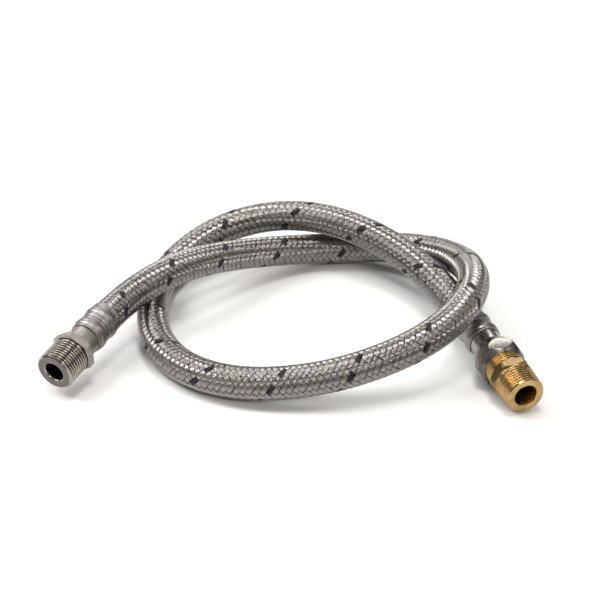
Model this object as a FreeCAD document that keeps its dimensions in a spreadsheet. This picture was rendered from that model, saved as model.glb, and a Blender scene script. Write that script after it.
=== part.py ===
# Braided stainless-steel supply line: a rubber hose inside a woven steel
# sleeve, a fixed male end, and a swivel nut end with a brass threaded adapter.
# Millimetres, +Z up.  The origin lies on the surface the line rests on, midway
# between the two end fittings.
import FreeCAD, Part
import os
import math
import Sketcher

V = FreeCAD.Vector
doc = FreeCAD.newDocument("braided_supply_line")

# ---------------------------------------------------------------------------
# Driving dimensions
# ---------------------------------------------------------------------------
sheet = doc.addObject("Spreadsheet::Sheet", "Dims")
DIMENSIONS = [
    # hose
    ("hose_od", 14.0, "outside diameter over the braid"),
    ("braid_wall", 0.7, "thickness of the woven steel sleeve"),
    ("liner_id", 10.0, "bore of the rubber liner"),
    ("grip_len", 10.0, "length of hose inside each crimp ferrule"),
    # threads, 3/8 inch pipe
    ("thread_od", 16.66, "major diameter of the parallel pipe thread"),
    ("thread_pitch", 1.337, "thread pitch, 19 threads per inch"),
    # male end
    ("male_tip_chamfer", 0.8, "lead-in chamfer of the male thread"),
    ("male_thread_len", 12.8, "tip to hexagon"),
    ("male_relief_len", 1.1, "thread run-out groove beside the hexagon"),
    ("male_relief_od", 14.6, "diameter of the run-out groove"),
    ("male_hex_af", 17.0, "hexagon across flats"),
    ("male_hex_len", 3.7, "hexagon thickness"),
    ("male_hex_corner", 19.4, "turned diameter over the hexagon corners"),
    ("male_hex_chamfer", 0.5, "chamfer depth along the axis"),
    ("collar_od", 13.6, "plain collar between hexagon and ferrule"),
    ("male_collar_len", 7.0, "visible length of the collar"),
    ("tail_bore", 8.5, "water way through a hose tail"),
    ("tail_lead", 0.5, "countersink at the mouth of the water way"),
    ("insert_od", 9.9, "root diameter of the barbed insert"),
    ("barb_od", 10.3, "diameter over the barbs"),
    ("barb_pitch", 2.6, "barb spacing"),
    # crimp ferrules
    ("ferrule_len", 16.1, "length of a crimp ferrule"),
    ("ferrule_band_od", 14.6, "plain bands"),
    ("ferrule_rib_od", 15.5, "over the crimped ribs"),
    ("ferrule_groove_od", 14.3, "bottom of the crimped groove"),
    # swivel end
    ("taper_thread_len", 10.6, "tapered outlet thread, tip to hexagon"),
    ("taper_tip_od", 16.26, "tapered thread at its tip"),
    ("taper_big_od", 16.92, "tapered thread at the hexagon"),
    ("taper_tip_chamfer", 0.55, "lead-in chamfer"),
    ("adapter_hex_af", 17.0, "adapter hexagon across flats"),
    ("adapter_hex_len", 4.4, "adapter hexagon thickness"),
    ("adapter_hex_corner", 19.0, "turned diameter over its corners"),
    ("adapter_neck_len", 4.9, "parallel thread left showing outside the nut"),
    ("adapter_engage", 8.0, "parallel thread inside the nut"),
    ("adapter_bore", 9.6, "water way through the adapter"),
    ("washer_len", 1.5, "thickness of the sealing washer"),
    ("washer_id", 10.4, "hole of the sealing washer"),
    ("flange_od", 16.2, "flange of the swivel tail"),
    ("flange_len", 1.5, "flange thickness"),
    ("nut_af", 19.0, "union nut across flats"),
    ("nut_corner", 21.6, "turned diameter over its corners"),
    ("nut_len", 12.6, "union nut length"),
    ("nut_bore", 16.74, "nut bore, 0.04 clear of the thread crests all round"),
    ("nut_front_od", 17.5, "rim of the nut at its mouth"),
    ("nut_back_od", 15.2, "rim of the nut at its back"),
    ("nut_web_hole", 13.8, "hole in the nut's web, 0.1 clear of the collar"),
    ("nut_play", 0.05, "axial play between flange and web"),
    ("swivel_collar_len", 6.2, "collar showing between nut and ferrule"),
    # where the two ends lie
    ("male_tip_x", -95.8219, "male end: centre of the tip face"),
    ("male_tip_y", -13.2788, ""),
    ("male_tip_z", 11.7679, ""),
    ("male_dir_x", 0.46053, "male end: direction of its axis, from tip to hose"),
    ("male_dir_y", 0.88108, ""),
    ("male_dir_z", 0.10775, ""),
    ("swivel_tip_x", 95.3642, "swivel end: centre of the adapter's tip face"),
    ("swivel_tip_y", -25.7536, ""),
    ("swivel_tip_z", 9.09932, ""),
    ("swivel_dir_x", -0.33291, "swivel end: direction of its axis, from tip to hose"),
    ("swivel_dir_y", 0.94253, ""),
    ("swivel_dir_z", 0.02827, ""),
    ("male_hex_turn", 28.3326, "degrees, first flat from upright"),
    ("adapter_hex_turn", 56.8548, "degrees"),
    ("nut_hex_turn", 56.8548, "degrees"),
]
ROUTE = [
    (-82.190, 12.801, 14.957),
    (-73.486, 29.453, 16.994),
    (-55.855, 42.538, 23.667),
    (-38.998, 58.186, 21.499),
    (-21.587, 73.250, 15.677),
    (-1.457, 86.145, 9.877),
    (21.058, 92.632, 7.000),
    (45.654, 90.778, 8.887),
    (65.237, 79.033, 14.062),
    (77.602, 58.575, 20.659),
    (79.804, 31.730, 27.193),
    (72.041, 9.811, 26.246),
    (55.120, -5.764, 21.304),
    (31.536, -13.992, 14.867),
    (7.653, -17.771, 10.517),
    (-18.729, -16.448, 7.811),
    (-40.578, -6.808, 7.000),
    (-54.992, 11.275, 7.046),
    (-60.369, 36.598, 7.000),
    (-59.323, 60.467, 7.002),
    (-50.410, 82.494, 8.955),
    (-33.101, 97.451, 14.397),
    (-10.726, 101.860, 19.186),
    (11.966, 94.862, 22.950),
    (32.723, 82.808, 22.633),
    (50.898, 67.828, 19.449),
    (64.688, 51.968, 14.184),
    (74.158, 34.286, 10.900),
    (80.450, 16.472, 10.366),
]
row = 1
for alias, value, note in DIMENSIONS:
    sheet.set("A%d" % row, alias)
    sheet.set("B%d" % row, "%.6g" % value)
    sheet.set("C%d" % row, note)
    sheet.setAlias("B%d" % row, alias)
    row += 1
for k, point in enumerate(ROUTE):
    for axis_name, value in zip("xyz", point):
        alias = "route_%02d_%s" % (k, axis_name)
        sheet.set("A%d" % row, alias)
        sheet.set("B%d" % row, "%.6g" % value)
        sheet.setAlias("B%d" % row, alias)
        row += 1
doc.recompute()


def dim(alias):
    return float(sheet.get(alias))


def E(text):
    """Turn a formula over aliases into a spreadsheet expression."""
    out = text
    for alias, _, _ in sorted(DIMENSIONS, key=lambda r: -len(r[0])):
        out = out.replace("{" + alias + "}", "Dims." + alias)
    return out


def value_of(text):
    out = text
    for alias, _, _ in DIMENSIONS:
        out = out.replace("{" + alias + "}", repr(dim(alias)))
    return arithmetic(out)


def arithmetic(text):
    """Evaluate a sum of products and quotients of plain numbers."""
    total = 0.0
    term = ""
    sign = 1.0
    parts = []
    for ch in text.replace(" ", ""):
        if ch in "+-" and term and term[-1] not in "*/":
            parts.append((sign, term))
            term = ""
            sign = 1.0 if ch == "+" else -1.0
        else:
            term += ch
    parts.append((sign, term))
    for s_, t_ in parts:
        product = 1.0
        op = "*"
        number = ""
        for ch in t_ + "*":
            if ch in "*/" and number:
                product = product * float(number) if op == "*" else product / float(number)
                op = ch
                number = ""
            else:
                number += ch
        total += s_ * product
    return total


# ---------------------------------------------------------------------------
# Helpers: turned bodies with milled hexagons
# ---------------------------------------------------------------------------
def origin_plane(body, role):
    for feature in body.Origin.OriginFeatures:
        if feature.Role == role:
            return feature


def turned_body(label, profile):
    """A body made by turning a closed profile of (radius, height) formulas."""
    body = doc.addObject("PartDesign::Body", label)
    body.Label = label
    sketch = body.newObject("Sketcher::SketchObject", label + "_profile")
    sketch.AttachmentSupport = [(origin_plane(body, "XZ_Plane"), "")]
    sketch.MapMode = "FlatFace"
    points = [V(value_of(r), value_of(z), 0) for r, z in profile]
    count = len(points)
    for i in range(count):
        sketch.addGeometry(Part.LineSegment(points[i], points[(i + 1) % count]), False)
    for i in range(count):
        sketch.addConstraint(Sketcher.Constraint("Coincident", i, 2, (i + 1) % count, 1))
    for i, (r, z) in enumerate(profile):
        c = sketch.addConstraint(Sketcher.Constraint("DistanceX", -1, 1, i, 1, points[i].x))
        sketch.renameConstraint(c, "r%02d" % i)
        sketch.setExpression("Constraints.r%02d" % i, E(r))
        if abs(points[i].y) < 1e-9:
            sketch.addConstraint(Sketcher.Constraint("PointOnObject", i, 1, -1))
        else:
            c = sketch.addConstraint(Sketcher.Constraint("DistanceY", -1, 1, i, 1, points[i].y))
            sketch.renameConstraint(c, "z%02d" % i)
            sketch.setExpression("Constraints.z%02d" % i, E(z))
    doc.recompute()
    turn = body.newObject("PartDesign::Revolution", label + "_turned")
    turn.Profile = (sketch, [""])
    turn.ReferenceAxis = (sketch, ["V_Axis"])
    turn.Angle = 360.0
    body.Tip = turn
    doc.recompute()
    return body


def mill_hexagon(body, af, start, length, turn_deg):
    """Mill six flats between two heights; one flat faces turn_deg from local X."""
    label = body.Label + "_flats"
    sketch = body.newObject("Sketcher::SketchObject", label + "_sketch")
    sketch.AttachmentSupport = [(origin_plane(body, "XY_Plane"), "")]
    sketch.MapMode = "FlatFace"
    across = value_of(af)
    corner = across / math.sqrt(3.0)
    base = math.radians(value_of(turn_deg) + 30.0)
    pts = [V(corner * math.cos(base + math.pi / 3 * k), corner * math.sin(base + math.pi / 3 * k), 0)
           for k in range(6)]
    for k in range(6):
        sketch.addGeometry(Part.LineSegment(pts[k], pts[(k + 1) % 6]), False)
    for k in range(6):
        sketch.addConstraint(Sketcher.Constraint("Coincident", k, 2, (k + 1) % 6, 1))
    ring = sketch.addGeometry(Part.Circle(V(0, 0, 0), V(0, 0, 1), across), False)
    sketch.addConstraint(Sketcher.Constraint("Coincident", ring, 3, -1, 1))
    c = sketch.addConstraint(Sketcher.Constraint("Radius", ring, across))
    sketch.renameConstraint(c, "clear_radius")
    sketch.setExpression("Constraints.clear_radius", E(af))
    guide = sketch.addGeometry(Part.Circle(V(0, 0, 0), V(0, 0, 1), across / 2.0), True)
    sketch.addConstraint(Sketcher.Constraint("Coincident", guide, 3, -1, 1))
    c = sketch.addConstraint(Sketcher.Constraint("Radius", guide, across / 2.0))
    sketch.renameConstraint(c, "flat_radius")
    sketch.setExpression("Constraints.flat_radius", E("{0}/2".replace("{0}", af)))
    for k in range(6):
        sketch.addConstraint(Sketcher.Constraint("Tangent", k, guide))
    for k in range(4):
        sketch.addConstraint(Sketcher.Constraint("Equal", k, k + 1))
    line = sketch.addGeometry(Part.LineSegment(V(0, 0, 0), pts[0]), True)
    sketch.addConstraint(Sketcher.Constraint("Coincident", line, 1, -1, 1))
    sketch.addConstraint(Sketcher.Constraint("Coincident", line, 2, 0, 1))
    c = sketch.addConstraint(Sketcher.Constraint("Angle", line, base))
    sketch.renameConstraint(c, "turn_angle")
    sketch.setExpression("Constraints.turn_angle", "(" + E(turn_deg) + " + 30) * 1deg")
    sketch.setExpression("AttachmentOffset.Base.z", E(start))
    doc.recompute()
    before = body.Shape.Volume
    cut = body.newObject("PartDesign::Pocket", label)
    cut.Profile = (sketch, [""])
    cut.Type = 0
    cut.setExpression("Length", E(length))
    cut.Reversed = True
    body.Tip = cut
    doc.recompute()
    if not body.Shape.Volume < before - 1.0:
        raise RuntimeError(label + " removed nothing")
    return body


def frame_on(tip, direction, turn_from_up=0.0):
    """Placement with local +Z along a direction and local +X as near up as it can be."""
    z = V(*direction)
    z.normalize()
    up = V(0, 0, 1)
    x = up - z * up.dot(z)
    x.normalize()
    y = z.cross(x)
    m = FreeCAD.Matrix(x.x, y.x, z.x, tip[0], x.y, y.y, z.y, tip[1], x.z, y.z, z.z, tip[2], 0, 0, 0, 1)
    return FreeCAD.Placement(m)


male_frame = frame_on((dim("male_tip_x"), dim("male_tip_y"), dim("male_tip_z")),
                      (dim("male_dir_x"), dim("male_dir_y"), dim("male_dir_z")))
swivel_frame = frame_on((dim("swivel_tip_x"), dim("swivel_tip_y"), dim("swivel_tip_z")),
                        (dim("swivel_dir_x"), dim("swivel_dir_y"), dim("swivel_dir_z")))

# ---------------------------------------------------------------------------
# Male end: thread, hexagon, collar and barbed insert in one turned piece
# ---------------------------------------------------------------------------
HEX_END = "{male_thread_len}+{male_hex_len}"
SHOULDER = "{male_thread_len}+{male_hex_len}+{male_collar_len}+{ferrule_len}-{grip_len}"
MOUTH = "{male_thread_len}+{male_hex_len}+{male_collar_len}+{ferrule_len}"


def barbed_insert(base):
    """Profile from the shoulder to the end of the insert, three barbs."""
    out = [("{insert_od}/2", base)]
    for k in (1, 2, 3):
        start = base + "+{barb_pitch}*%d-{barb_pitch}*0.55" % k
        out.append(("{insert_od}/2", start))
        out.append(("{barb_od}/2", start + "+0.15"))
        out.append(("{insert_od}/2", start + "+1.5"))
    out.append(("{insert_od}/2", base + "+{grip_len}-1.2"))
    out.append(("{insert_od}/2-0.35", base + "+{grip_len}-0.5"))
    out.append(("{tail_bore}/2", base + "+{grip_len}-0.5"))
    return out


male_profile = [
    ("{tail_bore}/2+{tail_lead}", "0"),
    ("{thread_od}/2-{male_tip_chamfer}", "0"),
    ("{thread_od}/2", "{male_tip_chamfer}"),
    ("{thread_od}/2", "{male_thread_len}-{male_relief_len}-0.6"),
    ("{male_relief_od}/2", "{male_thread_len}-{male_relief_len}"),
    ("{male_relief_od}/2", "{male_thread_len}"),
    ("{male_hex_af}/2-0.15", "{male_thread_len}"),
    ("{male_hex_corner}/2", "{male_thread_len}+{male_hex_chamfer}"),
    ("{male_hex_corner}/2", HEX_END + "-{male_hex_chamfer}"),
    ("{male_hex_af}/2-0.15", HEX_END),
    ("{collar_od}/2", HEX_END),
    ("{collar_od}/2", SHOULDER),
] + barbed_insert(SHOULDER) + [
    ("{tail_bore}/2", "{tail_lead}"),
]
male_tail = turned_body("male_hose_tail", male_profile)
mill_hexagon(male_tail, "{male_hex_af}", "{male_thread_len}", "{male_hex_len}", "{male_hex_turn}")
male_tail.Placement = male_frame


def ferrule(label, start, frame):
    """Thin steel sleeve crimped over the collar and the end of the hose."""
    def at(offset):
        return start + "+" + offset
    band, rib, groove = "{ferrule_band_od}/2", "{ferrule_rib_od}/2", "{ferrule_groove_od}/2"
    profile = [
        ("{collar_od}/2", start),
        (band + "-0.25", start),
        (band, at("0.4")),
        (band + "+0.02", at("1.4")),
        (rib + "-0.12", at("2.5")),
        (rib, at("3.3")),
        (rib + "-0.12", at("4.1")),
        (band + "+0.02", at("5.2")),
        (band, at("6.4")),
        (groove, at("7.1")),
        (groove, at("7.7")),
        (band, at("8.4")),
        (band + "+0.05", at("9.6")),
        (rib + "-0.12", at("10.8")),
        (rib, at("11.6")),
        (rib + "-0.12", at("12.4")),
        (band + "+0.02", at("13.5")),
        (band, start + "+{ferrule_len}-0.3"),
        (band + "-0.15", start + "+{ferrule_len}"),
        ("{hose_od}/2", start + "+{ferrule_len}"),
        ("{hose_od}/2", start + "+{ferrule_len}-{grip_len}"),
        ("{collar_od}/2", start + "+{ferrule_len}-{grip_len}"),
    ]
    body = turned_body(label, profile)
    body.Placement = frame
    return body


male_ferrule = ferrule("male_end_ferrule", HEX_END + "+{male_collar_len}", male_frame)

# ---------------------------------------------------------------------------
# Swivel end: adapter, washer, union nut, flanged tail, ferrule
# ---------------------------------------------------------------------------
ADAPTER_HEX_END = "{taper_thread_len}+{adapter_hex_len}"
NUT_MOUTH = "{taper_thread_len}+{adapter_hex_len}+{adapter_neck_len}"
ADAPTER_END = NUT_MOUTH + "+{adapter_engage}"
FLANGE = ADAPTER_END + "+{washer_len}"
FLANGE_END = FLANGE + "+{flange_len}"
NUT_END = NUT_MOUTH + "+{nut_len}"
SWIVEL_FERRULE = NUT_END + "+{swivel_collar_len}"
SWIVEL_MOUTH = SWIVEL_FERRULE + "+{ferrule_len}"
SWIVEL_SHOULDER = SWIVEL_MOUTH + "-{grip_len}"

adapter_profile = [
    ("{adapter_bore}/2", "0"),
    ("{taper_tip_od}/2-{taper_tip_chamfer}", "0"),
    ("{taper_tip_od}/2", "{taper_tip_chamfer}"),
    ("{taper_big_od}/2", "{taper_thread_len}-0.3"),
    ("{taper_big_od}/2-0.5", "{taper_thread_len}"),
    ("{adapter_hex_af}/2-0.1", "{taper_thread_len}"),
    ("{adapter_hex_corner}/2", "{taper_thread_len}+0.55"),
    ("{adapter_hex_corner}/2", ADAPTER_HEX_END + "-1.3"),
    ("{adapter_hex_af}/2-0.2", ADAPTER_HEX_END),
    ("{thread_od}/2-0.5", ADAPTER_HEX_END),
    ("{thread_od}/2", ADAPTER_HEX_END + "+0.5"),
    ("{thread_od}/2", ADAPTER_END + "-0.8"),
    ("{thread_od}/2-0.8", ADAPTER_END),
    ("{adapter_bore}/2", ADAPTER_END),
]
adapter = turned_body("brass_adapter", adapter_profile)
mill_hexagon(adapter, "{adapter_hex_af}", "{taper_thread_len}", "{adapter_hex_len}", "{adapter_hex_turn}")
adapter.Placement = swivel_frame

nut_profile = [
    ("{nut_bore}/2+0.15", NUT_MOUTH),
    ("{nut_front_od}/2", NUT_MOUTH),
    ("{nut_corner}/2", NUT_MOUTH + "+3.6"),
    ("{nut_corner}/2", NUT_MOUTH + "+5.4"),
    ("{nut_back_od}/2+0.6", NUT_END + "-1.0"),
    ("{nut_back_od}/2", NUT_END + "-0.3"),
    ("{nut_back_od}/2-0.3", NUT_END),
    ("{nut_web_hole}/2", NUT_END),
    ("{nut_web_hole}/2", FLANGE_END + "+{nut_play}"),
    ("{nut_bore}/2", FLANGE_END + "+{nut_play}"),
    ("{nut_bore}/2", NUT_MOUTH + "+0.15"),
]
nut = turned_body("union_nut", nut_profile)
mill_hexagon(nut, "{nut_af}", NUT_MOUTH, "{nut_len}", "{nut_hex_turn}")
nut.Placement = swivel_frame

washer = turned_body("sealing_washer", [
    ("{washer_id}/2", ADAPTER_END),
    ("{flange_od}/2", ADAPTER_END),
    ("{flange_od}/2", FLANGE),
    ("{washer_id}/2", FLANGE),
])
washer.Placement = swivel_frame

swivel_tail = turned_body("swivel_hose_tail", [
    ("{tail_bore}/2", FLANGE),
    ("{flange_od}/2", FLANGE),
    ("{flange_od}/2", FLANGE_END),
    ("{collar_od}/2", FLANGE_END),
    ("{collar_od}/2", SWIVEL_SHOULDER),
] + barbed_insert(SWIVEL_SHOULDER))
swivel_tail.Placement = swivel_frame

swivel_ferrule = ferrule("swivel_end_ferrule", SWIVEL_FERRULE, swivel_frame)

# ---------------------------------------------------------------------------
# Hose: liner and woven sleeve along one route of straight runs and arcs
# ---------------------------------------------------------------------------
route = [V(dim("route_%02d_x" % k), dim("route_%02d_y" % k), dim("route_%02d_z" % k))
         for k in range(len(ROUTE))]
# The first and last points lie on the fitting axes, at the tails' shoulders.
male_z = V(dim("male_dir_x"), dim("male_dir_y"), dim("male_dir_z")).normalize()
swivel_z = V(dim("swivel_dir_x"), dim("swivel_dir_y"), dim("swivel_dir_z")).normalize()
male_tip = V(dim("male_tip_x"), dim("male_tip_y"), dim("male_tip_z"))
swivel_tip = V(dim("swivel_tip_x"), dim("swivel_tip_y"), dim("swivel_tip_z"))
shift_a = (male_tip + male_z * value_of(SHOULDER) - route[0]).Length
shift_b = (swivel_tip + swivel_z * value_of(SWIVEL_SHOULDER) - route[-1]).Length
print("route ends off their shoulders by %.4f and %.4f mm" % (shift_a, shift_b))


def arcs_and_runs(points):
    edges = []
    radii = []
    here = points[0]
    length = 0.0
    for k in range(1, len(points) - 1):
        a = points[k - 1] - points[k]
        b = points[k + 1] - points[k]
        la, lb = a.Length, b.Length
        a.normalize()
        b.normalize()
        turn = math.pi - a.getAngle(b)
        setback = 0.45 * min(la, lb)
        radius = setback / math.tan(turn / 2.0)
        start = points[k] + a * setback
        end = points[k] + b * setback
        bisector = (a + b)
        bisector.normalize()
        centre = points[k] + bisector * (radius / math.cos(turn / 2.0))
        middle = centre - bisector * radius
        edges.append(Part.LineSegment(here, start).toShape())
        edges.append(Part.Arc(start, middle, end).toShape())
        length += (start - here).Length + radius * turn
        radii.append((k, la, math.degrees(turn), radius))
        here = end
    edges.append(Part.LineSegment(here, points[-1]).toShape())
    length += (points[-1] - here).Length
    return Part.Wire(edges), radii, length


path, radii, path_length = arcs_and_runs(route)
for k, run, turn, radius in radii:
    print("point %2d  run before %5.1f mm  turn %5.1f deg  radius %5.1f mm = %.2f diameters"
          % (k, run, turn, radius, radius / dim("hose_od")))
print("smallest radius %.1f mm, path length %.1f mm" % (min(r[3] for r in radii), path_length))


def tube(label, outer_d, inner_d):
    direction = route[1] - route[0]
    direction.normalize()
    outer = Part.Wire([Part.Circle(route[0], direction, outer_d / 2.0).toShape()])
    inner = Part.Wire([Part.Circle(route[0], direction, inner_d / 2.0).toShape()])
    body = path.makePipe(Part.Face(outer))
    bore = path.makePipe(Part.Face(inner))
    shape = body.cut(bore)
    if shape.ShapeType != "Solid":
        shape = shape.Solids[0]
    section = math.pi / 4.0 * (outer_d ** 2 - inner_d ** 2)
    print("%s volume %.1f mm3, section times length %.1f mm3" % (label, shape.Volume, section * path_length))
    if abs(shape.Volume / (section * path_length) - 1.0) > 0.01:
        raise RuntimeError(label + " has the wrong volume")
    feature = doc.addObject("Part::Feature", label)
    feature.Label = label
    feature.Shape = shape
    return feature


liner = tube("rubber_liner", dim("hose_od") - 2 * dim("braid_wall"), dim("liner_id"))
liner.Placement = FreeCAD.Placement()
sleeve = tube("braid_sleeve", dim("hose_od"), dim("hose_od") - 2 * dim("braid_wall"))
sleeve.Placement = FreeCAD.Placement()

# ---------------------------------------------------------------------------
# Check and write
# ---------------------------------------------------------------------------
doc.recompute()
parts = [male_tail, male_ferrule, liner, sleeve, swivel_ferrule, swivel_tail, washer, nut, adapter]
for obj in doc.Objects:
    if "Invalid" in obj.State or "Error" in obj.State:
        raise RuntimeError("%s failed: %s" % (obj.Name, obj.State))
for obj in parts:
    shape = obj.Shape
    if shape.isNull() or not shape.isValid() or len(shape.Solids) != 1:
        raise RuntimeError("%s has a bad shape" % obj.Label)
os.makedirs("parts", exist_ok=True)
for obj in parts:
    obj.Shape.exportStep("parts/%s.step" % obj.Label)
    box = obj.Shape.BoundBox
    print("%-20s %10.1f mm3  x %.1f..%.1f  y %.1f..%.1f  z %.2f..%.2f"
          % (obj.Label, obj.Shape.Volume, box.XMin, box.XMax, box.YMin, box.YMax, box.ZMin, box.ZMax))
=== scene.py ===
import math

import bpy
import bmesh
import numpy as np
from mathutils import Matrix, Vector


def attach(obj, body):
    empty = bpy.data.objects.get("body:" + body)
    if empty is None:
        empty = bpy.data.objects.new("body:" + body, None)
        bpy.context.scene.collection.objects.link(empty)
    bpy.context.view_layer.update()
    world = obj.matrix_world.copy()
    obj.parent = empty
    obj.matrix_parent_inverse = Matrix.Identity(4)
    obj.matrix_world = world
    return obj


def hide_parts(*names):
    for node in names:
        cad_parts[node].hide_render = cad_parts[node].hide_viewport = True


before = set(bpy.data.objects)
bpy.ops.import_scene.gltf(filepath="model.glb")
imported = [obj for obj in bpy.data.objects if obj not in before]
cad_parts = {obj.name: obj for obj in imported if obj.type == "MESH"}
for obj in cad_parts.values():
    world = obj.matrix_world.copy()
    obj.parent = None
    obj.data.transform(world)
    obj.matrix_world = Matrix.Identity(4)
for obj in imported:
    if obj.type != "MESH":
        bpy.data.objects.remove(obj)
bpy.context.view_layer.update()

MM = 0.001
scene = bpy.context.scene
scene.view_settings.view_transform = "Standard"

# ---------------------------------------------------------------- camera
# thirty-three degrees above the surface, square to the long side of the object
cam_data = bpy.data.cameras.new("camera")
cam_data.sensor_width = 36.0
cam_data.lens = 96.096
cam_data.clip_start = 0.05
cam_data.clip_end = 20.0
cam = bpy.data.objects.new("camera", cam_data)
cam.location = (0.004544, -0.544570, 0.392016)
cam.rotation_euler = (math.radians(90.0 - 33.0), 0.0, 0.0)
scene.collection.objects.link(cam)
scene.camera = cam

# ---------------------------------------------------------------- the route of the hose, in metres
ROUTE = [
    (-0.082190, 0.012801, 0.014957),
    (-0.073486, 0.029453, 0.016994),
    (-0.055855, 0.042538, 0.023667),
    (-0.038998, 0.058186, 0.021499),
    (-0.021587, 0.073250, 0.015677),
    (-0.001457, 0.086145, 0.009877),
    (0.021058, 0.092632, 0.007000),
    (0.045654, 0.090778, 0.008887),
    (0.065237, 0.079033, 0.014062),
    (0.077602, 0.058575, 0.020659),
    (0.079804, 0.031730, 0.027193),
    (0.072041, 0.009811, 0.026246),
    (0.055120, -0.005764, 0.021304),
    (0.031536, -0.013992, 0.014867),
    (0.007653, -0.017771, 0.010517),
    (-0.018729, -0.016448, 0.007811),
    (-0.040578, -0.006808, 0.007000),
    (-0.054992, 0.011275, 0.007046),
    (-0.060369, 0.036598, 0.007000),
    (-0.059323, 0.060467, 0.007002),
    (-0.050410, 0.082494, 0.008955),
    (-0.033101, 0.097451, 0.014397),
    (-0.010726, 0.101860, 0.019186),
    (0.011966, 0.094862, 0.022950),
    (0.032723, 0.082808, 0.022633),
    (0.050898, 0.067828, 0.019449),
    (0.064688, 0.051968, 0.014184),
    (0.074158, 0.034286, 0.010900),
    (0.080450, 0.016472, 0.010366),
]


def route_curve(name, points):
    data = bpy.data.curves.new(name, "CURVE")
    data.dimensions = "3D"
    data.resolution_u = 48
    spline = data.splines.new("NURBS")
    spline.points.add(len(points) - 1)
    for point, place in zip(spline.points, points):
        point.co = (place[0], place[1], place[2], 1.0)
    spline.order_u = 3
    spline.use_endpoint_u = True
    return bpy.data.objects.new(name, data)


route = route_curve("route", ROUTE)
scene.collection.objects.link(route)
route_mesh = bpy.data.meshes.new_from_object(route)
LINE = np.array([v.co[:] for v in route_mesh.vertices])
route_data = route.data
bpy.data.objects.remove(route)
bpy.data.curves.remove(route_data)
bpy.data.meshes.remove(route_mesh)

# a frame that does not twist about the line
STEP = np.linalg.norm(np.diff(LINE, axis=0), axis=1)
keep = np.concatenate([[True], STEP > 1e-7])
LINE = LINE[keep]
ALONG = np.concatenate([[0.0], np.cumsum(np.linalg.norm(np.diff(LINE, axis=0), axis=1))]) / MM
LENGTH = ALONG[-1]
TANGENT = np.gradient(LINE, axis=0)
TANGENT /= np.linalg.norm(TANGENT, axis=1)[:, None]
SIDE_U = np.zeros_like(LINE)
first = np.array([0.0, 0.0, 1.0]) - TANGENT[0] * TANGENT[0][2]
SIDE_U[0] = first / np.linalg.norm(first)
for i in range(1, len(LINE)):
    v1 = LINE[i] - LINE[i - 1]
    c1 = v1 @ v1
    r_l = SIDE_U[i - 1] - 2 / c1 * (v1 @ SIDE_U[i - 1]) * v1
    t_l = TANGENT[i - 1] - 2 / c1 * (v1 @ TANGENT[i - 1]) * v1
    v2 = TANGENT[i] - t_l
    c2 = v2 @ v2
    SIDE_U[i] = r_l - 2 / c2 * (v2 @ r_l) * v2 if c2 > 1e-18 else r_l
SIDE_V = np.cross(TANGENT, SIDE_U)


def at(s, table):
    return np.stack([np.interp(s, ALONG, table[:, k]) for k in range(3)], axis=-1)


def on_hose(s, theta, radius):
    """points at s mm along the line, theta radians round it, radius mm out from it; arrays of one shape"""
    centre, u, v = at(s, LINE), at(s, SIDE_U), at(s, SIDE_V)
    return centre + (np.cos(theta)[..., None] * u + np.sin(theta)[..., None] * v) * (radius * MM)[..., None]


# ---------------------------------------------------------------- mesh helpers
def mesh_piece(name, verts, faces, material, matrix=None, sharp=None, lift=None):
    mesh = bpy.data.meshes.new(name)
    verts = np.asarray(verts, dtype=np.float32).reshape(-1, 3)
    faces = np.asarray(faces, dtype=np.int32)
    mesh.vertices.add(len(verts))
    mesh.vertices.foreach_set("co", verts.ravel())
    width = faces.shape[1]
    mesh.loops.add(faces.size)
    mesh.loops.foreach_set("vertex_index", faces.ravel())
    mesh.polygons.add(len(faces))
    mesh.polygons.foreach_set("loop_start", np.arange(len(faces), dtype=np.int32) * width)
    mesh.polygons.foreach_set("use_smooth", np.ones(len(faces), dtype=bool))
    if lift is not None:
        layer = mesh.attributes.new("lift", "FLOAT", "POINT")
        layer.data.foreach_set("value", np.asarray(lift, dtype=np.float32).ravel())
    mesh.update(calc_edges=True)
    mesh.validate()
    if sharp is not None:
        mesh.set_sharp_from_angle(angle=math.radians(sharp))
    mesh.materials.append(material)
    obj = bpy.data.objects.new(name, mesh)
    scene.collection.objects.link(obj)
    if matrix is not None:
        obj.matrix_world = matrix
    return obj


def grid_faces(rows, cols, wrap_rows=False, wrap_cols=True, base=0):
    r = np.arange(rows if wrap_rows else rows - 1)
    c = np.arange(cols if wrap_cols else cols - 1)
    rr, cc = np.meshgrid(r, c, indexing="ij")
    r2, c2 = (rr + 1) % rows, (cc + 1) % cols
    return np.stack([rr * cols + cc, rr * cols + c2, r2 * cols + c2, r2 * cols + cc], axis=-1).reshape(-1, 4) + base


SEG = 144


def rounded(profile, radii):
    """a closed (radius, height) outline with its corners rounded; radii is one number or a dict by corner"""
    n = len(profile)
    out = []
    for k in range(n):
        p = np.array(profile[k], float)
        a = np.array(profile[k - 1], float) - p
        b = np.array(profile[(k + 1) % n], float) - p
        la, lb = np.linalg.norm(a), np.linalg.norm(b)
        radius = radii.get(k, radii["all"]) if isinstance(radii, dict) else radii
        a /= la
        b /= lb
        turn = math.acos(max(-1.0, min(1.0, float(a @ b))))
        if radius <= 0 or turn > math.radians(176):
            out.append(tuple(p))
            continue
        back = min(radius / math.tan(turn / 2), 0.45 * la, 0.45 * lb)
        s, e = p + a * back, p + b * back
        for f in (0.0, 0.25, 0.5, 0.75, 1.0):
            out.append(tuple((1 - f) ** 2 * s + 2 * f * (1 - f) * p + f * f * e))
    return out


def lathe_rows(profile, seg=SEG):
    return [(np.full(seg, r), z) for r, z in profile]


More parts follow.
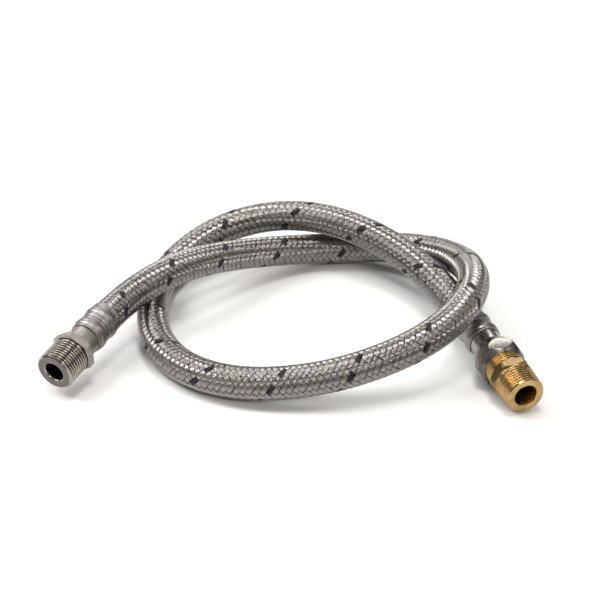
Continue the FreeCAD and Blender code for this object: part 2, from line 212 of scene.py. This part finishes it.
def rows_mesh(rows, seg=SEG):
    """rows of (radii round the axis, height) make one closed ring-shaped body, in mm"""
    angle = np.arange(seg) * 2 * math.pi / seg
    verts = []
    for r, z in rows:
        z = np.broadcast_to(z, (seg,))
        verts.append(np.stack([r * np.cos(angle), r * np.sin(angle), z], axis=-1))
    verts = np.concatenate(verts) * MM
    return verts, grid_faces(len(rows), seg, wrap_rows=True)


def thread_rows(z0, z1, crest0, crest1, pitch, depth, lead=0.0, tail=0.0, fade0=0.6, fade1=0.6, seg=SEG, per=20, phase=0.0):
    """right-hand thread from height z0 to z1; crest radius runs from crest0 to crest1; lead and tail are chamfer heights"""
    angle = np.arange(seg) / seg
    rows = []
    count = int(math.ceil((z1 - z0) / pitch * per))
    for k in range(count + 1):
        z = z0 + (z1 - z0) * k / count
        crest = crest0 + (crest1 - crest0) * k / count
        f = (z / pitch - angle + phase) % 1.0
        tri = np.abs(2 * f - 1)
        cut = np.clip(1.5 * tri - 0.25, 0, 1)
        cut = cut * cut * (3 - 2 * cut) * 0.35 + cut * 0.65
        fade = min(1.0, (z - z0) / fade0 if fade0 else 1.0, (z1 - z) / fade1 if fade1 else 1.0)
        r = crest - depth * cut * max(0.0, fade)
        if lead and z < z0 + lead:
            r = np.minimum(r, crest0 - (z0 + lead - z))
        if tail and z > z1 - tail:
            r = np.minimum(r, crest1 - (z - z1 + tail))
        rows.append((r, z))
    return rows


def place(tip, direction, turn=0.0):
    """local z runs from the tip towards the hose and local x is near upright"""
    z = Vector(direction).normalized()
    up = Vector((0, 0, 1))
    x = (up - z * up.dot(z)).normalized()
    y = z.cross(x)
    m = Matrix((x, y, z)).transposed().to_4x4()
    m.translation = Vector(tip)
    return m @ Matrix.Rotation(math.radians(turn), 4, "Z")


def evaluated_mesh(obj):
    bpy.context.view_layer.update()
    dg = bpy.context.evaluated_depsgraph_get()
    return bpy.data.meshes.new_from_object(obj.evaluated_get(dg))


def drop(obj):
    data = obj.data
    bpy.data.objects.remove(obj)
    bpy.data.meshes.remove(data)


def hex_body(name, profile, across, turn, material, edge=0.12):
    """a turned outline cut to a hexagon, with softened edges; returns a mesh in local axes"""
    verts, faces = rows_mesh(lathe_rows(profile, 144), 144)
    turned = mesh_piece(name + "_turned", verts, faces, material)
    lo, hi = min(z for _, z in profile) - 1, max(z for _, z in profile) + 1
    prism = bmesh.new()
    corners = [(across / 2 / math.cos(math.pi / 6) * math.cos(math.radians(turn + 30 + 60 * k)),
                across / 2 / math.cos(math.pi / 6) * math.sin(math.radians(turn + 30 + 60 * k))) for k in range(6)]
    low = [prism.verts.new((x * MM, y * MM, lo * MM)) for x, y in corners]
    high = [prism.verts.new((x * MM, y * MM, hi * MM)) for x, y in corners]
    prism.faces.new(low[::-1])
    prism.faces.new(high)
    for k in range(6):
        prism.faces.new((low[k], low[(k + 1) % 6], high[(k + 1) % 6], high[k]))
    cutter_mesh = bpy.data.meshes.new(name + "_prism")
    prism.to_mesh(cutter_mesh)
    prism.free()
    cutter = bpy.data.objects.new(name + "_prism", cutter_mesh)
    scene.collection.objects.link(cutter)
    mod = turned.modifiers.new("hexagon", "BOOLEAN")
    mod.operation = "INTERSECT"
    mod.solver = "EXACT"
    mod.object = cutter
    if edge:
        soft = turned.modifiers.new("edges", "BEVEL")
        soft.width = edge * MM
        soft.segments = 2
        soft.limit_method = "ANGLE"
        soft.angle_limit = math.radians(22)
        soft.use_clamp_overlap = True
    mesh = evaluated_mesh(turned)
    drop(turned)
    drop(cutter)
    for poly in mesh.polygons:
        poly.use_smooth = True
    mesh.set_sharp_from_angle(angle=math.radians(11))
    return mesh


def joined(name, parts, material, matrix):
    """several closed bodies, each (verts, faces) or a mesh in local axes, as one piece"""
    bm = bmesh.new()
    for part in parts:
        if isinstance(part, tuple):
            tmp = mesh_piece(name + "_tmp", part[0], part[1], material, sharp=52)
            bm.from_mesh(tmp.data)
            drop(tmp)
        else:
            bm.from_mesh(part)
    mesh = bpy.data.meshes.new(name)
    bmesh.ops.recalc_face_normals(bm, faces=bm.faces)
    bm.to_mesh(mesh)
    bm.free()
    mesh.materials.clear()
    mesh.materials.append(material)
    for poly in mesh.polygons:
        poly.material_index = 0
    obj = bpy.data.objects.new(name, mesh)
    scene.collection.objects.link(obj)
    obj.matrix_world = matrix
    return obj


# ---------------------------------------------------------------- materials
def new_material(name):
    mat = bpy.data.materials.new(name)
    mat.use_nodes = True
    nodes, links = mat.node_tree.nodes, mat.node_tree.links
    nodes.clear()
    out = nodes.new("ShaderNodeOutputMaterial")
    bsdf = nodes.new("ShaderNodeBsdfPrincipled")
    links.new(bsdf.outputs["BSDF"], out.inputs["Surface"])
    return mat, nodes, links, bsdf


def noise(nodes, links, coords, scale, detail=3.0, rough=0.5, distortion=0.0):
    n = nodes.new("ShaderNodeTexNoise")
    n.inputs["Scale"].default_value = scale
    n.inputs["Detail"].default_value = detail
    n.inputs["Roughness"].default_value = rough
    n.inputs["Distortion"].default_value = distortion
    links.new(coords, n.inputs["Vector"])
    return n.outputs["Fac"]


def ramp(nodes, links, fac, stops):
    r = nodes.new("ShaderNodeValToRGB")
    while len(r.color_ramp.elements) > 1:
        r.color_ramp.elements.remove(r.color_ramp.elements[-1])
    for k, (pos, col) in enumerate(stops):
        e = r.color_ramp.elements[0] if k == 0 else r.color_ramp.elements.new(pos)
        e.position = pos
        e.color = (*col, 1.0)
    links.new(fac, r.inputs["Fac"])
    return r.outputs["Color"]


def remap(nodes, links, value, a, b, lo=0.0, hi=1.0):
    m = nodes.new("ShaderNodeMapRange")
    m.inputs["From Min"].default_value = lo
    m.inputs["From Max"].default_value = hi
    m.inputs["To Min"].default_value = a
    m.inputs["To Max"].default_value = b
    links.new(value, m.inputs["Value"])
    return m.outputs["Result"]


def shade(nodes, links, colour, amount):
    """colour times a grey amount"""
    m = nodes.new("ShaderNodeVectorMath")
    m.operation = "SCALE"
    links.new(colour, m.inputs[0])
    links.new(amount, m.inputs["Scale"])
    return m.outputs["Vector"]


def turned_metal(name, dark, light, rough_lo, rough_hi, rings=9000.0, ring_bump=0.05, grain=0.03, tarnish=None, cone_painted_shade=None, painted_light_bands=()):
    """plated or bare metal, turned: faint rings about the local axis, uneven colour and gloss"""
    mat, nodes, links, bsdf = new_material(name)
    tex = nodes.new("ShaderNodeTexCoord")
    coords = tex.outputs["Object"]
    cloud = noise(nodes, links, coords, 260.0, 4.0, 0.6, 0.4)
    colour = ramp(nodes, links, cloud, [(0.30, dark), (0.55, tuple((a + b) / 2 for a, b in zip(dark, light))), (0.75, light)])
    if tarnish is not None:
        spots = noise(nodes, links, coords, 900.0, 5.0, 0.7, 0.2)
        mask = remap(nodes, links, spots, 0.0, 0.35, 0.55, 0.80)
        mix = nodes.new("ShaderNodeMix")
        mix.data_type = "RGBA"
        links.new(mask, mix.inputs["Factor"])
        links.new(colour, mix.inputs["A"])
        mix.inputs["B"].default_value = (*tarnish, 1.0)
        colour = mix.outputs["Result"]
    if cone_painted_shade is not None:
        # painted shade: faces that slope to the axis, the turned chamfers, get their colour darkened to stand in for
        # the darker reflection they show beside the milled flats
        axis = nodes.new("ShaderNodeSeparateXYZ")
        links.new(tex.outputs["Normal"], axis.inputs[0])
        slope = nodes.new("ShaderNodeMath")
        slope.operation = "ABSOLUTE"
        links.new(axis.outputs["Z"], slope.inputs[0])
        colour = shade(nodes, links, colour, remap(nodes, links, slope.outputs[0], 1.0, cone_painted_shade, 0.10, 0.30))
    fine = noise(nodes, links, coords, 1500.0, 3.0, 0.6)
    gloss = remap(nodes, links, fine, rough_lo, rough_hi, 0.3, 0.7)
    for low, high, painted_light_scale, dull in painted_light_bands:
        # painted light and shade: the stretch between two heights gets its colour scaled darker or lighter, standing
        # in for how it catches the light, and another gloss
        axis = nodes.new("ShaderNodeSeparateXYZ")
        links.new(coords, axis.inputs[0])
        rise = remap(nodes, links, axis.outputs["Z"], 0.0, 1.0, (low - 0.05) * MM, (low + 0.05) * MM)
        fall = remap(nodes, links, axis.outputs["Z"], 1.0, 0.0, (high - 0.05) * MM, (high + 0.05) * MM)
        both = nodes.new("ShaderNodeMath")
        both.operation = "MULTIPLY"
        links.new(rise, both.inputs[0])
        links.new(fall, both.inputs[1])
        colour = shade(nodes, links, colour, remap(nodes, links, both.outputs[0], 1.0, painted_light_scale))
        more = nodes.new("ShaderNodeMath")
        more.operation = "MULTIPLY_ADD"
        links.new(both.outputs[0], more.inputs[0])
        more.inputs[1].default_value = dull
        links.new(gloss, more.inputs[2])
        gloss = more.outputs[0]
    links.new(colour, bsdf.inputs["Base Color"])
    bsdf.inputs["Metallic"].default_value = 1.0
    links.new(gloss, bsdf.inputs["Roughness"])
    # tool marks: noise squeezed along the axis, so it runs in rings
    mapping = nodes.new("ShaderNodeMapping")
    mapping.inputs["Scale"].default_value = (0.06, 0.06, 1.0)
    links.new(coords, mapping.inputs["Vector"])
    marks = noise(nodes, links, mapping.outputs["Vector"], rings, 2.0, 0.5)
    bump = nodes.new("ShaderNodeBump")
    bump.inputs["Strength"].default_value = ring_bump
    bump.inputs["Distance"].default_value = 0.00003
    links.new(marks, bump.inputs["Height"])
    bump2 = nodes.new("ShaderNodeBump")
    bump2.inputs["Strength"].default_value = grain
    bump2.inputs["Distance"].default_value = 0.00004
    links.new(noise(nodes, links, coords, 2600.0, 2.0, 0.5), bump2.inputs["Height"])
    links.new(bump.outputs["Normal"], bump2.inputs["Normal"])
    links.new(bump2.outputs["Normal"], bsdf.inputs["Normal"])
    return mat


def wire_metal(name, under, middle, over, rough_lo, rough_hi, metallic=1.0):
    """bundles of fine wire: painted shade darkens the colour where a bundle dives under its neighbours, in the
    valleys between wires and along bundle edges, and it is lighter where it rides over; noise adds uneven colour
    """
    mat, nodes, links, bsdf = new_material(name)
    tex = nodes.new("ShaderNodeTexCoord")
    coords = tex.outputs["Object"]
    attr = nodes.new("ShaderNodeAttribute")
    attr.attribute_name = "lift"
    patch = noise(nodes, links, coords, 420.0, 3.0, 0.6)
    add = nodes.new("ShaderNodeMath")
    add.operation = "MULTIPLY_ADD"
    add.inputs[1].default_value = 0.55
    links.new(patch, add.inputs[0])
    links.new(attr.outputs["Fac"], add.inputs[2])
    fac = remap(nodes, links, add.outputs[0], 0.0, 1.0, -0.7, 1.3)
    # painted shade: the ramp runs from the shade colour where the bundle lies low to the lit colour where it rides
    # high
    links.new(ramp(nodes, links, fac, [(0.0, under), (0.45, middle), (0.8, over)]), bsdf.inputs["Base Color"])
    bsdf.inputs["Metallic"].default_value = metallic
    fine = noise(nodes, links, coords, 1900.0, 2.0, 0.5)
    links.new(remap(nodes, links, fine, rough_lo, rough_hi, 0.3, 0.7), bsdf.inputs["Roughness"])
    bump = nodes.new("ShaderNodeBump")
    bump.inputs["Strength"].default_value = 0.06
    bump.inputs["Distance"].default_value = 0.0001
    links.new(noise(nodes, links, coords, 5200.0, 2.0, 0.5), bump.inputs["Height"])
    links.new(bump.outputs["Normal"], bsdf.inputs["Normal"])
    return mat


def rubber(name, dark, light, rough=0.6):
    mat, nodes, links, bsdf = new_material(name)
    tex = nodes.new("ShaderNodeTexCoord")
    speck = noise(nodes, links, tex.outputs["Object"], 700.0, 4.0, 0.6)
    links.new(ramp(nodes, links, speck, [(0.3, dark), (0.7, light)]), bsdf.inputs["Base Color"])
    bsdf.inputs["Roughness"].default_value = rough
    bump = nodes.new("ShaderNodeBump")
    bump.inputs["Strength"].default_value = 0.15
    bump.inputs["Distance"].default_value = 0.0002
    links.new(speck, bump.inputs["Height"])
    links.new(bump.outputs["Normal"], bsdf.inputs["Normal"])
    return mat


STEEL_WIRE = wire_metal("braid_wire", (0.023, 0.0148, 0.0158), (0.118, 0.1015, 0.1005), (0.318, 0.305, 0.290), 0.17, 0.26)
TRACER_WIRE = wire_metal("tracer_wire", (0.003, 0.002, 0.003), (0.006, 0.0035, 0.0055), (0.010, 0.006, 0.009), 0.48, 0.62, metallic=0.0)
NICKEL = turned_metal("nickel_plate", (0.27, 0.252, 0.235), (0.38, 0.357, 0.333), 0.22, 0.32, ring_bump=0.20, grain=0.10, tarnish=(0.24, 0.20, 0.165))
# painted light and shade: the end face and collar are darkened and the hexagon lightened in colour, each stretch with
# its own gloss
MALE_PLATE = turned_metal("male_plate", (0.29, 0.27, 0.24), (0.41, 0.38, 0.345), 0.12, 0.21, ring_bump=0.20, grain=0.10, tarnish=(0.24, 0.20, 0.165), painted_light_bands=((-0.5, 0.06, 0.42, 0.16), (12.9, 16.5, 1.15, 0.26), (16.5, 23.6, 0.92, 0.28)))
# painted shade on the nut's chamfers: their colour is darkened
NUT_PLATE = turned_metal("nut_plate", (0.235, 0.217, 0.192), (0.310, 0.288, 0.256), 0.22, 0.31, ring_bump=0.15, grain=0.20, tarnish=(0.22, 0.19, 0.165), cone_painted_shade=0.60)
FERRULE = turned_metal("ferrule_steel", (0.235, 0.220, 0.213), (0.33, 0.312, 0.302), 0.33, 0.45, ring_bump=0.12, grain=0.12)
# painted shade: the brass hexagon is darkened in colour
BRASS = turned_metal("bare_brass", (0.33, 0.215, 0.092), (0.56, 0.395, 0.19), 0.18, 0.29, ring_bump=0.25, grain=0.12, tarnish=(0.22, 0.13, 0.055), painted_light_bands=((10.65, 14.9, 0.55, 0.0),))
LINER = rubber("liner_rubber", (0.010, 0.010, 0.011), (0.030, 0.029, 0.028))
WASHER = rubber("washer_rubber", (0.020, 0.018, 0.016), (0.050, 0.045, 0.040))

# ---------------------------------------------------------------- the hose: liner, then the woven sleeve
# liner tube along the line
def tube(name, s, outer, inner, material, seg=40):
    angle = np.arange(seg) * 2 * math.pi / seg
    out_pts = on_hose(np.repeat(s[:, None], seg, 1), np.repeat(angle[None], len(s), 0), np.full((len(s), seg), outer))
    in_pts = on_hose(np.repeat(s[:, None], seg, 1), np.repeat(angle[None], len(s), 0), np.full((len(s), seg), inner))[::-1]
    verts = np.concatenate([out_pts.reshape(-1, 3), in_pts.reshape(-1, 3)])
    return mesh_piece(name, verts, grid_faces(2 * len(s), seg, wrap_rows=True), material)


s_liner = np.linspace(0.0, LENGTH, 560)
liner = tube("hose_liner", s_liner, 6.28, 5.05, LINER)

# phase of the weave: turns about the line, and where the columns of floats lie
KNOTS = np.linspace(0.0, 656.0, 17)
WIND = np.radians(np.array([-317.2, 258.5, 766.2, 1191.3, 1609.6, 2043.6, 2527.7, 3023.3, 3485.0, 3969.2, 4466.3, 4893.0, 5277.8, 5675.8, 6103.6, 6531.5, 6959.3]))
COLUMN = np.radians(np.array([18.7, 18.5, 18.8, 20.3, 23.0, 27.2, 32.4, 36.0, 36.3, 33.9, 30.4, 28.1, 27.0, 26.3, 25.7, 25.2, 24.6]) - 37.5)


def smooth_table(s, values):
    """a smooth curve through evenly spaced values"""
    h = KNOTS[1] - KNOTS[0]
    slope = np.gradient(values, h)
    k = np.clip(((s - KNOTS[0]) / h).astype(int), 0, len(KNOTS) - 2)
    t = (s - KNOTS[k]) / h
    return ((2 * t**3 - 3 * t**2 + 1) * values[k] + (t**3 - 2 * t**2 + t) * h * slope[k]
            + (-2 * t**3 + 3 * t**2) * values[k + 1] + (t**3 - t**2) * h * slope[k + 1])


CARRIERS = 12
WIRES = 6
WIRE_POINTS = np.array([-1.0, -0.88, -0.5, 0.0, 0.5, 0.88])
MID_RADIUS = 6.62
SWING = 0.21
WIRE_RISE = 0.15
STRAND_STEPS = 950


def weave(x):
    return x / np.sqrt(x * x + 0.22) * math.sqrt(1.22)


def strand(hand, index, s, half=0.452):
    """one bundle of wires; hand is +1 or -1; returns its vertices and how high each vertex rides"""
    s = s[:, None]
    wind, column = smooth_table(s, WIND), smooth_table(s, COLUMN)
    rng = np.random.default_rng(1000 + index + (50 if hand > 0 else 0))
    wander = 0.05 * np.sin(s * 2 * math.pi / rng.uniform(60, 110) + rng.uniform(0, 6.28)) + 0.03 * np.sin(s * 2 * math.pi / rng.uniform(17, 31) + rng.uniform(0, 6.28))
    x = np.concatenate([np.tile(WIRE_POINTS, WIRES), [1.0]])[None, :]
    wire = np.concatenate([np.repeat(np.arange(WIRES), len(WIRE_POINTS)), [WIRES - 1]])[None, :]
    t = (wire + (x + 1) / 2) / WIRES * 2 - 1
    offset = index + wander + t * half
    theta = column + hand * wind + offset * 2 * math.pi / CARRIERS
    other = (theta - column + hand * wind) * CARRIERS / (2 * math.pi)
    f = hand * weave(np.sin(math.pi * (other + index + 0.5) / 2))
    bump = WIRE_RISE * np.sqrt(np.maximum(0.0, 1 - x**2))
    crown = -0.09 * t**2
    radius = MID_RADIUS + SWING * f + bump + crown
    low = MID_RADIUS + SWING * f[:, [-1, 0]] - 0.10
    theta_all = np.concatenate([theta, theta[:, [-1, 0]]], axis=1)
    radius_all = np.concatenate([radius, low], axis=1)
    # lift carries painted shade into the colour: low where the bundle dives under, in the valleys between wires and,
    # lower still, along the bundle edges
    lift = np.concatenate([f + (bump / WIRE_RISE - 0.75) * 0.5, f[:, [-1, 0]] - 0.6], axis=1)
    pts = on_hose(np.broadcast_to(s, theta_all.shape), theta_all, radius_all)
    return pts, lift


TRACER = (-1, 0)


def strand_piece(name, members, material):
    s = np.linspace(2.0, LENGTH - 2.0, STRAND_STEPS)
    verts, faces, lifts, base = [], [], [], 0
    for hand, index in members:
        pts, lift = strand(hand, index, s, 0.31 if (hand, index) == TRACER else 0.452)
        rows, cols = pts.shape[:2]
        verts.append(pts.reshape(-1, 3))
        lifts.append(lift.ravel())
        faces.append(grid_faces(rows, cols, base=base))
        base += rows * cols
    return mesh_piece(name, np.concatenate(verts), np.concatenate(faces), material, lift=np.concatenate(lifts))


members = [(h, k) for h in (1, -1) for k in range(CARRIERS) if (h, k) != TRACER]
braid = [strand_piece("braid_strands_%02d" % (k // 2 + 1), members[k:k + 2], STEEL_WIRE) for k in range(0, len(members), 2)]
braid.append(strand_piece("braid_tracer", [TRACER], TRACER_WIRE))

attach(liner, "hose_line")
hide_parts("rubber_liner")
for piece in braid:
    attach(piece, "hose_line")
    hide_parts("braid_sleeve")

# ---------------------------------------------------------------- crimp ferrules
MALE = (-0.0958219, -0.0132788, 0.0117679)
MALE_DIR = (0.4605318, 0.8810787, 0.1077533)
SWIVEL = (0.0953642, -0.0257536, 0.0090993)
SWIVEL_DIR = (-0.3329110, 0.9425344, 0.0282706)


def ferrule_outline():
    """radius against height from the fitting side, outside then inside"""
    z = np.linspace(0, 16.1, 150)
    r = np.full_like(z, 7.27)
    r = r + 0.46 * np.exp(-((z - 3.3) / 1.55) ** 4) + 0.46 * np.exp(-((z - 11.4) / 1.45) ** 4)
    r = r - 0.22 * np.exp(-((z - 7.4) / 0.42) ** 4) - 0.07 * np.exp(-((z - 14.6) / 0.9) ** 4)
    r = np.where(z < 0.35, r - (0.35 - z) ** 2 * 2.2, r)
    r = np.where(z > 15.85, r - (z - 15.85) ** 2 * 2.5, r)
    outline = [(float(a), float(b)) for a, b in zip(r, z)]
    outline += [(7.12, 16.1), (7.06, 16.0), (7.03, 15.6), (7.02, 6.0), (6.84, 5.9), (6.84, 0.05), (7.0, 0.0)]
    return outline


def ferrule(name, tip, direction, start, node):
    verts, faces = rows_mesh(lathe_rows([(r, z + start) for r, z in ferrule_outline()]))
    piece = joined(name, [(verts, faces)], FERRULE, place(tip, direction))
    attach(piece, "hose_line")
    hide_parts(node)
    return piece


ferrule("male_crimp", MALE, MALE_DIR, 23.5, "male_end_ferrule")
ferrule("swivel_crimp", SWIVEL, SWIVEL_DIR, 38.7, "swivel_end_ferrule")

# ---------------------------------------------------------------- male hose tail
PITCH = 1.337
DEPTH = 0.80
rows = []
rows += thread_rows(0.0, 11.9, 8.33, 8.33, PITCH, DEPTH, lead=0.8, fade0=0.5, fade1=0.5)
rows += lathe_rows([(7.75, 12.0), (7.32, 12.25), (7.30, 12.7), (7.45, 12.82), (7.6, 12.85), (6.5, 13.3), (6.5, 16.2), (6.82, 16.4), (6.82, 22.9), (6.72, 23.45), (6.2, 23.6), (6.2, 24.2), (4.92, 24.3), (4.92, 39.2), (4.75, 39.6), (4.30, 39.6)])
rows += lathe_rows([(4.25, 39.4), (4.25, 30.0), (4.25, 15.0), (4.25, 2.0), (4.25, 0.55), (4.55, 0.12), (4.75, 0.0), (5.4, -0.0), (6.3, 0.0), (7.2, 0.0)])
shank = rows_mesh(rows)
hexagon = hex_body("male_hexagon", [(6.4, 12.8), (8.35, 12.8), (9.7, 13.3), (9.7, 16.0), (8.35, 16.5), (6.4, 16.5)], 17.0, 28.333, MALE_PLATE, edge=0.10)
male_tail = joined("male_tail", [shank, hexagon], MALE_PLATE, place(MALE, MALE_DIR))
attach(male_tail, "hose_line")
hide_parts("male_hose_tail")

# ---------------------------------------------------------------- swivel hose tail, nut, adapter
tail_outline = rounded([(8.08, 29.42), (8.08, 30.88), (6.82, 30.9), (6.82, 38.6), (6.2, 38.75), (6.2, 39.4), (4.92, 39.5), (4.92, 54.3), (4.3, 54.8), (4.25, 54.5), (4.25, 29.9), (4.7, 29.42)], 0.10)
swivel_tail = joined("swivel_tail", [rows_mesh(lathe_rows(tail_outline))], NICKEL, place(SWIVEL, SWIVEL_DIR))
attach(swivel_tail, "hose_line")
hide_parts("swivel_hose_tail")

nut_profile = [
    (8.52, 19.9), (8.75, 19.9), (10.8, 23.5), (10.8, 25.3), (8.2, 31.5), (7.6, 32.2), (7.3, 32.5), (6.92, 32.5), (6.92, 30.96),
    (8.37, 30.96), (8.37, 20.05),
]
nut_mesh = hex_body("nut_body", nut_profile, 19.0, 56.855, NUT_PLATE, edge=0.10)
nut = joined("swivel_nut", [nut_mesh], NUT_PLATE, place(SWIVEL, SWIVEL_DIR))
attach(nut, "nut")
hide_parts("union_nut")

rows = []
rows += thread_rows(0.0, 10.3, 8.13, 8.44, PITCH, DEPTH * 0.95, lead=0.5, fade0=0.4, fade1=1.2)
rows += lathe_rows([(8.35, 10.6), (8.0, 11.1), (8.0, 14.6), (7.55, 15.0)])
rows += thread_rows(15.15, 27.9, 8.30, 8.30, PITCH, DEPTH * 0.95, fade0=0.9, fade1=0.5, tail=0.5)
rows += lathe_rows([(7.4, 27.9), (5.0, 27.9), (4.8, 27.7), (4.8, 15.0), (4.8, 0.35), (4.95, 0.1), (5.15, 0.0), (6.3, 0.0), (7.2, 0.0)])
adapter_shank = rows_mesh(rows)
adapter_hex = hex_body("adapter_hexagon", [(6.4, 10.6), (8.4, 10.6), (9.5, 11.15), (9.5, 13.7), (8.3, 15.0), (6.4, 15.0)], 17.0, 56.855, BRASS, edge=0.10)
adapter = joined("brass_nipple", [adapter_shank, adapter_hex], BRASS, place(SWIVEL, SWIVEL_DIR))
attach(adapter, "adapter")
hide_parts("brass_adapter")

# the flat washer keeps its own shape
washer_node = bpy.data.objects.get("sealing_washer")
if washer_node is not None:
    for slot_ in washer_node.material_slots:
        slot_.link = "OBJECT"
        slot_.material = WASHER

# ---------------------------------------------------------------- floor and light
floor_mat, nodes, links, bsdf = new_material("studio_floor")
tex = nodes.new("ShaderNodeTexCoord")
soft = noise(nodes, links, tex.outputs["Object"], 3.0, 2.0, 0.5)
links.new(ramp(nodes, links, soft, [(0.3, (0.86, 0.86, 0.86)), (0.7, (0.88, 0.88, 0.88))]), bsdf.inputs["Base Color"])
bsdf.inputs["Roughness"].default_value = 0.9
bsdf.inputs["Specular IOR Level"].default_value = 0.1
floor = mesh_piece("floor", [(-3, -3, -0.0002), (3, -3, -0.0002), (3, 5, -0.0002), (-3, 5, -0.0002)], [[0, 1, 2, 3]], floor_mat)


def softbox(name, location, target, size, power, colour=(1, 1, 1), size_y=None):
    data = bpy.data.lights.new(name, "AREA")
    data.shape = "RECTANGLE"
    data.size = size
    data.size_y = size_y or size
    data.energy = power
    data.color = colour
    lamp = bpy.data.objects.new(name, data)
    lamp.location = location
    way = Vector(target) - Vector(location)
    lamp.rotation_euler = way.to_track_quat("-Z", "Y").to_euler()
    scene.collection.objects.link(lamp)
    return lamp


softbox("key", (-0.80, 0.20, 0.90), (0, 0.03, 0), 0.40, 9.5, (1.0, 0.985, 0.965), 0.8)
softbox("back", (-0.10, 1.05, 0.75), (0, 0.03, 0), 1.1, 5.5, (0.97, 0.985, 1.0), 0.35)
softbox("right", (0.90, 0.00, 0.75), (0, 0.03, 0), 0.20, 2.5, (1.0, 0.975, 0.94), 0.7)
softbox("front", (0.40, -0.95, 0.95), (0, 0.03, 0), 0.5, 5.0, (1.0, 0.95, 0.89), 0.22)
softbox("top", (0.05, 0.05, 1.50), (0, 0.03, 0), 0.45, 9.0, (1.0, 0.99, 0.975))

world = bpy.data.worlds.new("studio")
scene.world = world
world.use_nodes = True
wn, wl = world.node_tree.nodes, world.node_tree.links
wn.clear()
w_out = wn.new("ShaderNodeOutputWorld")
w_bg = wn.new("ShaderNodeBackground")
w_tex = wn.new("ShaderNodeTexCoord")
w_sep = wn.new("ShaderNodeSeparateXYZ")
wl.new(w_tex.outputs["Generated"], w_sep.inputs["Vector"])
# bright overhead and to the left, dim near the surface, in front and to the right
def w_range(axis, a, b, lo, hi):
    node = wn.new("ShaderNodeMapRange")
    node.inputs["From Min"].default_value = a
    node.inputs["From Max"].default_value = b
    node.inputs["To Min"].default_value = lo
    node.inputs["To Max"].default_value = hi
    wl.new(w_sep.outputs[axis], node.inputs["Value"])
    return node.outputs["Result"]


def w_times(a, b):
    node = wn.new("ShaderNodeMath")
    node.operation = "MULTIPLY"
    wl.new(a, node.inputs[0])
    wl.new(b, node.inputs[1])
    return node.outputs[0]


w_bg.inputs["Color"].default_value = (1.0, 0.98, 0.96, 1)
wl.new(w_times(w_times(w_range("Z", -0.05, 0.8, 0.08, 0.60), w_range("Y", -1.0, 0.5, 0.55, 1.0)), w_range("X", -0.7, 0.7, 1.25, 0.5)), w_bg.inputs["Strength"])
wl.new(w_bg.outputs["Background"], w_out.inputs["Surface"])
